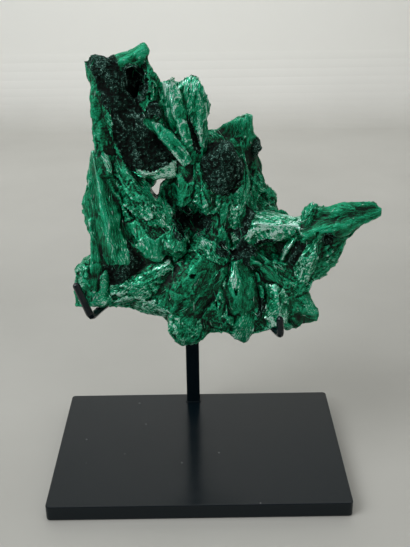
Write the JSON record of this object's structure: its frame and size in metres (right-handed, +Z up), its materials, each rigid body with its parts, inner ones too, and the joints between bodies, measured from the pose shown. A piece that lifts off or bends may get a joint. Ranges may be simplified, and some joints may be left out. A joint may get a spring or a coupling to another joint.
{
  "type": "malachite specimen on stand",
  "caption": "Craggy fibrous malachite specimen held upright in wire claws on a black rectangular display stand with a square post.",
  "frame": {"origin": "centre of the base plate's underside", "axes": "+Z up; +X to the right of a viewer who faces the stone's front; +Y away from that viewer, towards the post"},
  "size_m": [0.1295, 0.08, 0.1755],
  "materials": {
    "malachite": null,
    "painted_steel": "satin black powder coat"
  },
  "bodies": {
    "root": {"malachite": "malachite", "base_plate": "painted_steel", "post": "painted_steel", "left_claw": "painted_steel", "right_claw": "painted_steel"}
  },
  "joints": []
}
